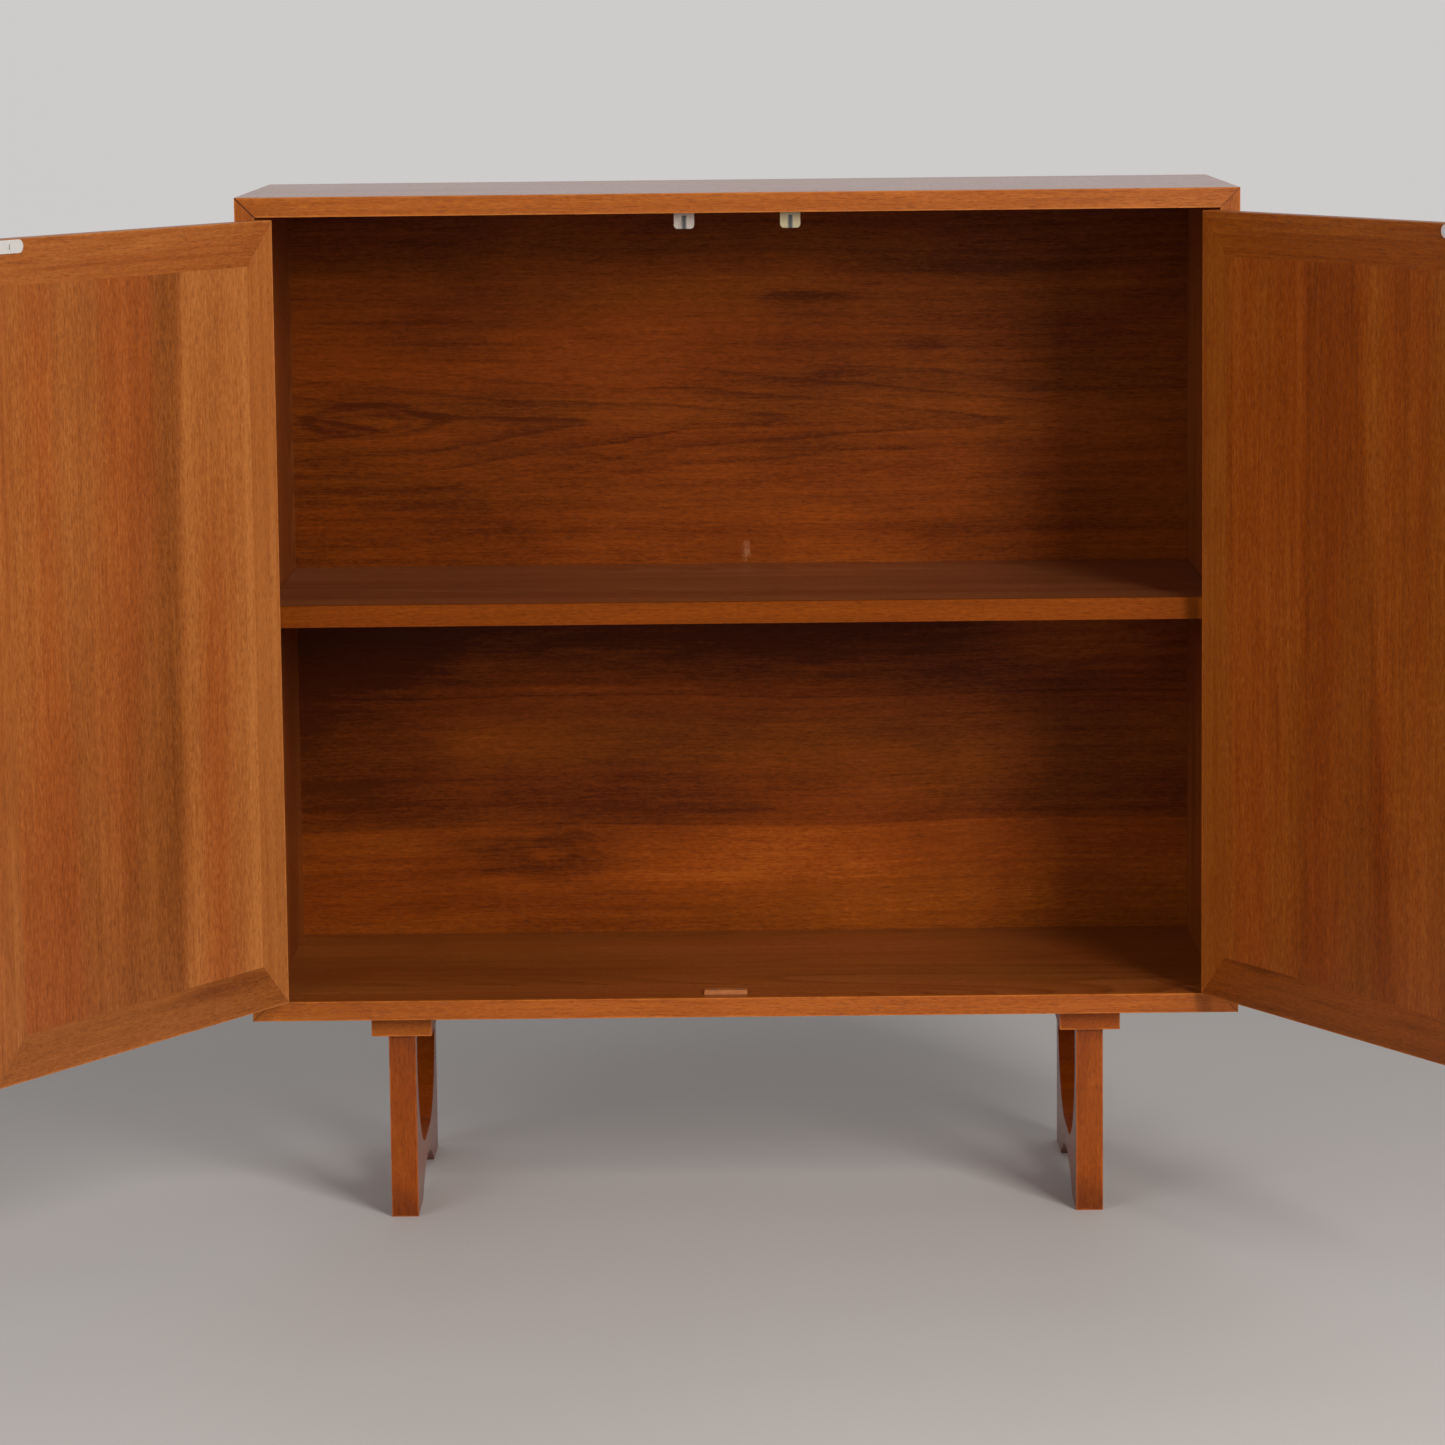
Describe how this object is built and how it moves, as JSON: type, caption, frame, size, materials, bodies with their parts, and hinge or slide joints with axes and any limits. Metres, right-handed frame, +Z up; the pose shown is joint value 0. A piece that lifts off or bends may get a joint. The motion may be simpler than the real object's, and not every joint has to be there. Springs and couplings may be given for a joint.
{
  "type": "cabinet",
  "caption": "Tall mid-century teak cupboard on scooped board legs, with a fixed shelf and two inset doors standing open.",
  "frame": {"origin": "On the floor, centred left to right, midway between the back of the carcass and the front edge of the open doors.", "axes": "+X to the viewer's right along the width, +Y to the back of the cabinet, +Z up. The doors open towards -Y."},
  "size_m": [1.3192, 0.7612, 0.958],
  "materials": {
    "carcass_veneer": "lacquered teak veneer, semi-gloss",
    "top_veneer": "polished teak veneer, semi-gloss",
    "back_veneer": "figured teak veneer, satin",
    "solid_teak": "solid teak lipping, semi-gloss",
    "door_teak": "lacquered teak veneer, semi-gloss",
    "leg_teak": "glossy lacquered solid teak",
    "cleat_teak": "oiled teak, paler than the leg",
    "pale_beech": "plain beech, matt",
    "hinge_brass": "drawn brass, lightly tarnished",
    "screw_steel": "steel, lightly worn",
    "strike_steel": "bright plated steel",
    "pole_steel": "mild steel, dull",
    "magnet_ferrite": "dark ceramic magnet",
    "catch_grey": "off-white moulded plastic",
    "catch_cream": "yellowed cream moulded plastic"
  },
  "bodies": {
    "carcass": {"bottom_panel": "carcass_veneer", "top_panel": "top_veneer", "left_side": "carcass_veneer", "right_side": "carcass_veneer", "shelf": "carcass_veneer", "back_panel": "back_veneer", "top_lipping": "solid_teak", "bottom_lipping": "solid_teak", "left_side_lipping": "solid_teak", "right_side_lipping": "solid_teak", "shelf_lipping": "solid_teak", "corner_tongues": "pale_beech", "door_stop": "pale_beech", "leg_dowels": "pale_beech", "shelf_studs": "pale_beech", "left_leg_cleat": "cleat_teak", "right_leg_cleat": "cleat_teak", "left_leg": "leg_teak", "right_leg": "leg_teak", "left_hinge_side_leaves": "hinge_brass", "left_hinge_pins": "hinge_brass", "left_hinge_side_screws": "hinge_brass", "left_catch_poles": "pole_steel", "left_catch_magnet": "magnet_ferrite", "right_hinge_side_leaves": "hinge_brass", "right_hinge_pins": "hinge_brass", "right_hinge_side_screws": "hinge_brass", "right_catch_poles": "pole_steel", "right_catch_magnet": "magnet_ferrite", "left_catch_body": "catch_grey", "right_catch_body": "catch_cream", "catch_screws": "screw_steel", "leg_screws": "screw_steel", "door_stop_screws": "screw_steel", "back_panel_screws": "screw_steel"},
    "left_door": {"left_door_panel": "door_teak", "left_door_hinge_stile": "door_teak", "left_door_meeting_stile": "door_teak", "left_door_top_rail": "door_teak", "left_door_bottom_rail": "door_teak", "left_door_knob": "solid_teak", "left_strike": "strike_steel", "left_strike_screw": "screw_steel", "left_hinge_door_leaves": "hinge_brass", "left_hinge_door_screws": "hinge_brass"},
    "right_door": {"right_door_panel": "door_teak", "right_door_hinge_stile": "door_teak", "right_door_meeting_stile": "door_teak", "right_door_top_rail": "door_teak", "right_door_bottom_rail": "door_teak", "right_door_knob": "solid_teak", "right_strike": "strike_steel", "right_strike_screw": "screw_steel", "right_hinge_door_leaves": "hinge_brass", "right_hinge_door_screws": "hinge_brass"}
  },
  "joints": [
    {"name": "left_door_hinge", "type": "hinge", "parent": "carcass", "child": "left_door", "pos_m": [-0.4385, 0.0146, 0.577], "axis": [0, 0, 1], "range_deg": [-60.5, 119.5]},
    {"name": "right_door_hinge", "type": "hinge", "parent": "carcass", "child": "right_door", "pos_m": [0.4385, 0.0146, 0.577], "axis": [0, 0, -1], "range_deg": [-62, 118]}
  ]
}
